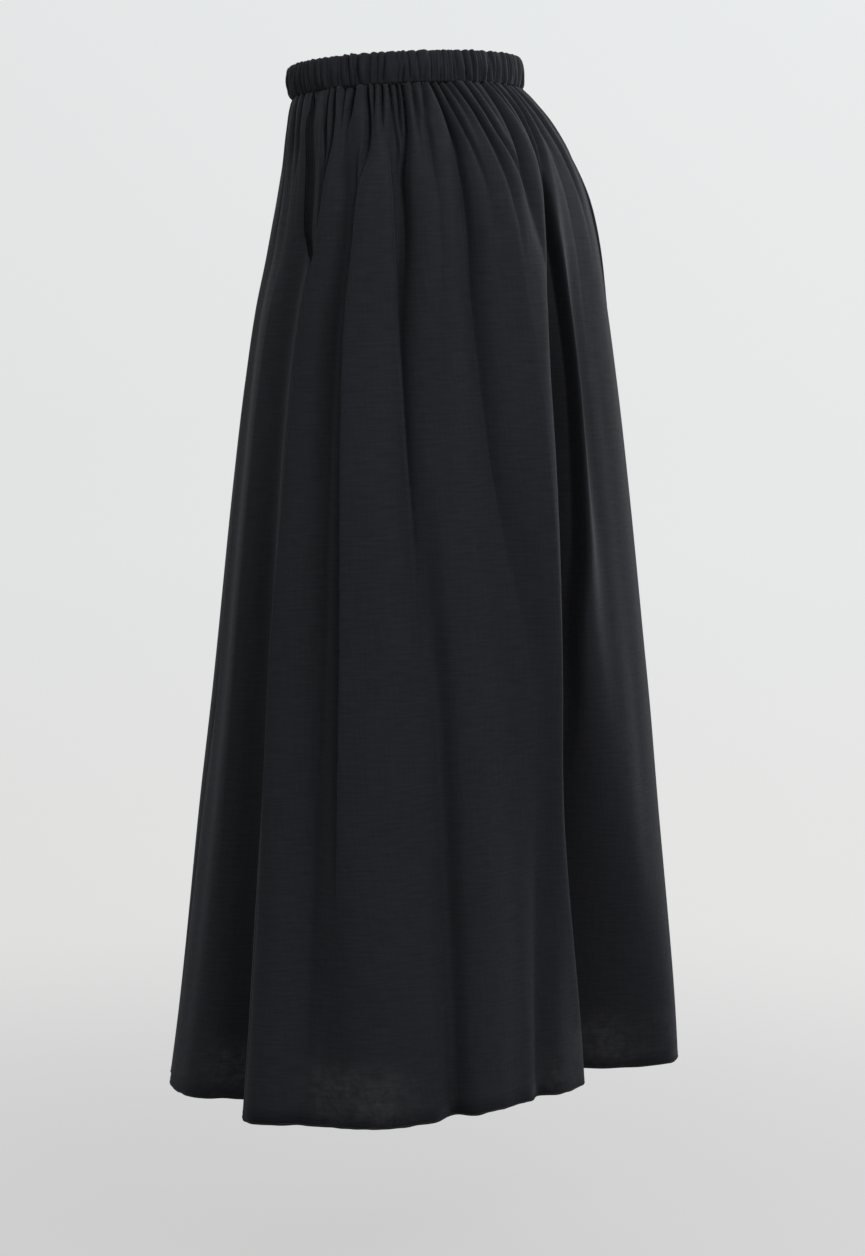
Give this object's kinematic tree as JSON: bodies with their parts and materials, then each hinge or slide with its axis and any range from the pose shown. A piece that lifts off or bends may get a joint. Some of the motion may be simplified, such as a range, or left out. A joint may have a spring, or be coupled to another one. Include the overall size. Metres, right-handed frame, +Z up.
{
  "type": "maxi skirt",
  "caption": "Floor-length flared skirt with a gathered elastic waist and slant side pockets, holding the hollow shape it has when worn.",
  "frame": {"origin": "middle of the waist, halfway up the waistband, where the wearer holds the skirt", "axes": "+Z up; the front faces -Y, the back +Y, and the wearer's left side is +X"},
  "size_m": [0.553, 0.4693, 1.012],
  "materials": {
    "skirt_cloth": "matt light woven cloth with a slubby yarn, charcoal black",
    "band_cloth": "the same cloth ruched over elastic",
    "pocket_cloth": "the same cloth, inside the pockets"
  },
  "bodies": {
    "root": {"waistband": "band_cloth", "front_panel_upper": "skirt_cloth", "front_panel_middle": "skirt_cloth", "front_panel_lower": "skirt_cloth", "back_panel_upper": "skirt_cloth", "back_panel_middle": "skirt_cloth", "back_panel_lower": "skirt_cloth", "pocket_hip_left": "skirt_cloth", "pocket_hip_right": "skirt_cloth", "pocket_bag_left": "pocket_cloth", "pocket_bag_right": "pocket_cloth"}
  },
  "joints": []
}
